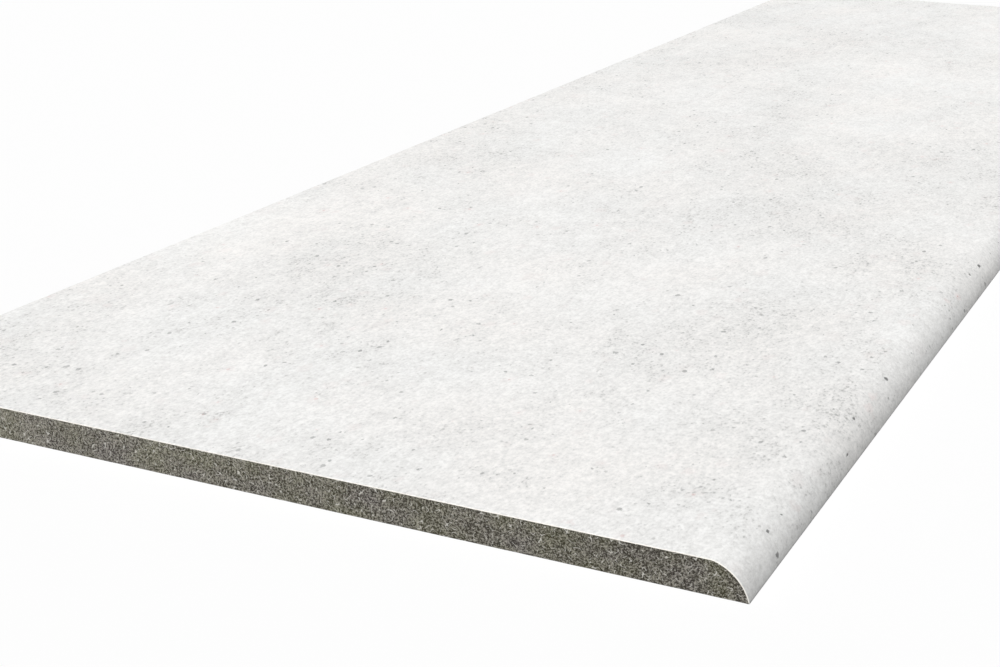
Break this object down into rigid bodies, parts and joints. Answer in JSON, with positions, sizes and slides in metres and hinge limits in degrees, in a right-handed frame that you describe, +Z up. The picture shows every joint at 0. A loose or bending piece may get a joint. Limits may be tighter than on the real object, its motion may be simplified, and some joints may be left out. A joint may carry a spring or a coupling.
{
  "type": "stair tread tile",
  "caption": "Long flat porcelain stair tread tile with a rounded nose along its front edge and a keyed underside for mortar.",
  "frame": {"origin": "on the floor plane, under the middle of the tile's box", "axes": "+X along the tread, +Y from the nose to the back edge, +Z up out of the walked face"},
  "size_m": [1.2, 0.3499, 0.012],
  "materials": {
    "stone_look_glaze": "matt, pale stone look with fine grey and few red specks",
    "porcelain_body": "raw, sawn, fine-grained dark grey"
  },
  "bodies": {
    "root": {"tread_tile": "stone_look_glaze"}
  },
  "joints": []
}
